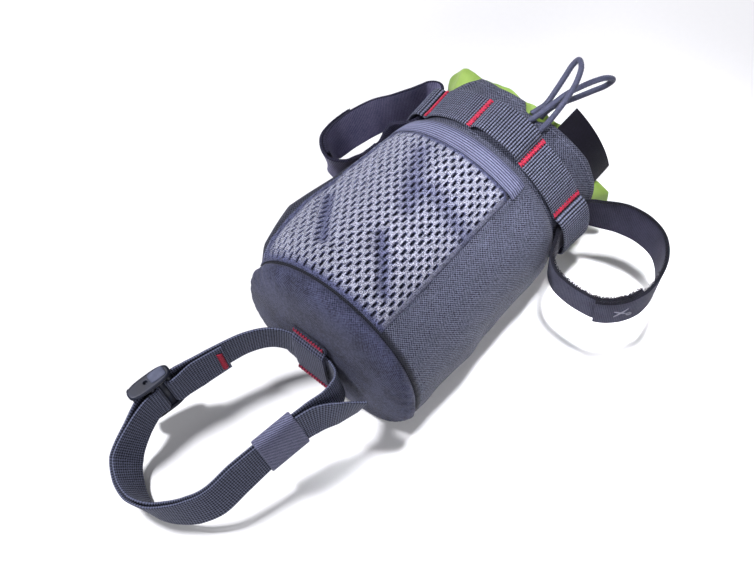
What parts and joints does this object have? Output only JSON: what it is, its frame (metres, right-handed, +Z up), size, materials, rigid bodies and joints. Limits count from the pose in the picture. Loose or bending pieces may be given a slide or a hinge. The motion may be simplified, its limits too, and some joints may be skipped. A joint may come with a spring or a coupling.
{
  "type": "bicycle bottle bag",
  "caption": "Soft cylindrical bicycle bottle bag lying on its back, with a net pocket, webbing collar, lined mouth, draw cord, hook-and-loop straps and a buckled base strap.",
  "frame": {"origin": "middle of the flat strip of the body that the bag rests on", "axes": "+Y along the bag from its base to its mouth, +Z up from the surface it rests on, +X to its right"},
  "size_m": [0.1883, 0.3162, 0.1034],
  "materials": {
    "ripstop": "matt woven cloth with a fine rib",
    "base_fabric": "matt woven cloth",
    "net": "open knitted net",
    "elastic_binding": "ribbed elastic",
    "webbing": "ribbed webbing",
    "lining": "smooth coated cloth",
    "label": "plain woven label",
    "hook_and_loop": "napped hook and loop tape",
    "buckle_plastic": "satin",
    "elastic_sleeve": "ribbed elastic",
    "cord": "braided elastic cord"
  },
  "bodies": {
    "root": {"body_wall": "ripstop", "base_cap": "base_fabric", "mesh_pocket": "net", "pocket_binding": "elastic_binding", "collar": "ripstop", "daisy_webbing": "webbing", "mouth_lining": "lining", "label_tag": "label", "hook_strap_right": "hook_and_loop", "hook_strap_left": "hook_and_loop", "base_anchor": "webbing", "base_strap": "webbing", "strap_buckle": "buckle_plastic", "strap_keeper": "elastic_sleeve", "draw_cord": "cord"}
  },
  "joints": []
}
